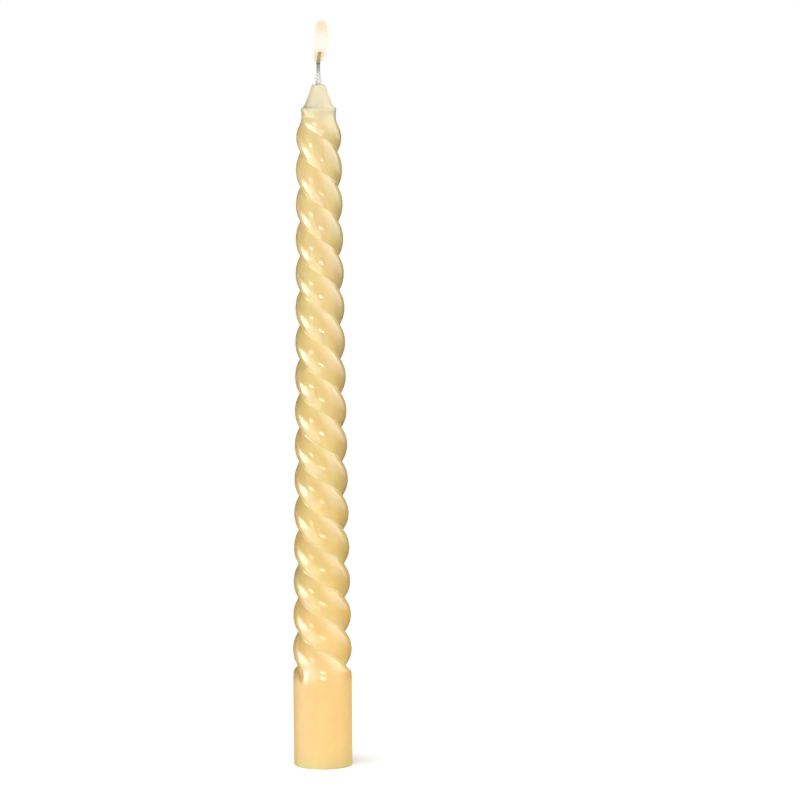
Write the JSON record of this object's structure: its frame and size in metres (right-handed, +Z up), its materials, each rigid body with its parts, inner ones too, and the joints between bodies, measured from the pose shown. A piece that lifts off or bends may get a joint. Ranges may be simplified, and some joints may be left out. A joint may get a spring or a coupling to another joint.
{
  "type": "spiral taper candle",
  "caption": "Slim wax taper with a left-handed double twist, a plain round foot that fits a candle holder's socket, and a burning wick.",
  "frame": {"origin": "centre of the foot's flat underside, on the candle's axis", "axes": "+Z up along the candle's axis, towards the wick; +X the way the wick's tip and the flame lean; the picture looks along +Y"},
  "size_m": [0.022, 0.0222, 0.278],
  "materials": {
    "coat_wax": "glossy dipped paraffin wax, warm ivory yellow",
    "core_wax": "bare paraffin wax, pale cream, satin",
    "wick_cotton": "braided cotton, waxed and white at its foot, charred at its tip",
    "flame_gas": "soft glow, peach at the top and near white in the middle"
  },
  "bodies": {
    "root": {"wax_core": "core_wax", "colour_coat": "coat_wax", "wick": "wick_cotton", "flame": "flame_gas"}
  },
  "joints": []
}
